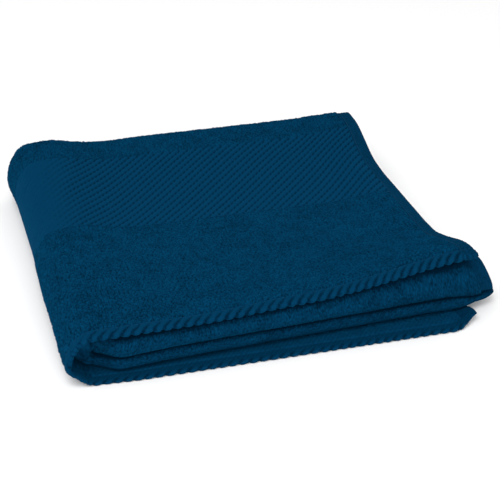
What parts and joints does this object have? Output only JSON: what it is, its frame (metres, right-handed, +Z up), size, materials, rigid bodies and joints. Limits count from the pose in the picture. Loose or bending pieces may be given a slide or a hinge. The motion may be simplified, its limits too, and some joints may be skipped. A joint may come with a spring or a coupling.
{
  "type": "folded hand towel",
  "caption": "Dark blue terry hand towel with corded borders, folded into a flat square pile that opens like a book about its half fold.",
  "frame": {"origin": "middle of the folded towel's box, on the surface that it lies on", "axes": "+Z up from the surface, +X from the half fold to the sewn side hems, -Y towards the end hems"},
  "size_m": [0.2588, 0.254, 0.0451],
  "materials": {
    "terry": "looped cotton pile, soft and matte",
    "border": "flat woven border with raised diagonal cords",
    "hem": "flat woven cotton, turned and sewn",
    "thread": "lockstitched sewing thread, slight sheen"
  },
  "bodies": {
    "lower_half": {"lower_outer_end_hem": "hem", "lower_turn_end_hem": "hem", "lower_tucked_end_hem": "hem", "lower_outer_terry_front": "terry", "lower_turn_terry_front": "terry", "lower_tucked_terry_front": "terry", "lower_outer_border": "border", "lower_turn_border": "border", "lower_tucked_border": "border", "lower_outer_terry_back": "terry", "lower_turn_terry_back": "terry", "lower_tucked_terry_back": "terry", "lower_outer_side_hem": "hem", "lower_end_hem_seam": "thread", "lower_side_hem_seam": "thread", "lower_outer_back_fold": "terry", "lower_turn_back_fold": "terry", "lower_front_fold": "terry", "lower_inner_back_fold": "terry", "lower_turn_tucked_layer": "terry", "lower_tucked_side_hem": "hem", "lower_third_terry": "terry", "lower_turn_third_layer": "terry", "lower_third_side_hem": "hem", "lower_core_terry": "terry", "lower_turn_core_layer": "terry", "lower_core_side_hem": "hem"},
    "upper_half": {"upper_outer_end_hem": "hem", "upper_turn_end_hem": "hem", "upper_tucked_end_hem": "hem", "upper_outer_terry_front": "terry", "upper_turn_terry_front": "terry", "upper_tucked_terry_front": "terry", "upper_outer_border": "border", "upper_turn_border": "border", "upper_tucked_border": "border", "upper_outer_terry_back": "terry", "upper_turn_terry_back": "terry", "upper_tucked_terry_back": "terry", "upper_outer_side_hem": "hem", "upper_end_hem_seam": "thread", "upper_side_hem_seam": "thread", "upper_outer_back_fold": "terry", "upper_turn_back_fold": "terry", "upper_front_fold": "terry", "upper_inner_back_fold": "terry", "upper_turn_tucked_layer": "terry", "upper_tucked_side_hem": "hem", "upper_third_terry": "terry", "upper_turn_third_layer": "terry", "upper_third_side_hem": "hem", "upper_core_terry": "terry", "upper_turn_core_layer": "terry", "upper_core_side_hem": "hem"}
  },
  "joints": [
    {"name": "half_fold", "type": "hinge", "parent": "lower_half", "child": "upper_half", "pos_m": [-0.12956, 0, 0.0186], "axis": [0, -1, 0], "range_deg": [0, 178]}
  ]
}
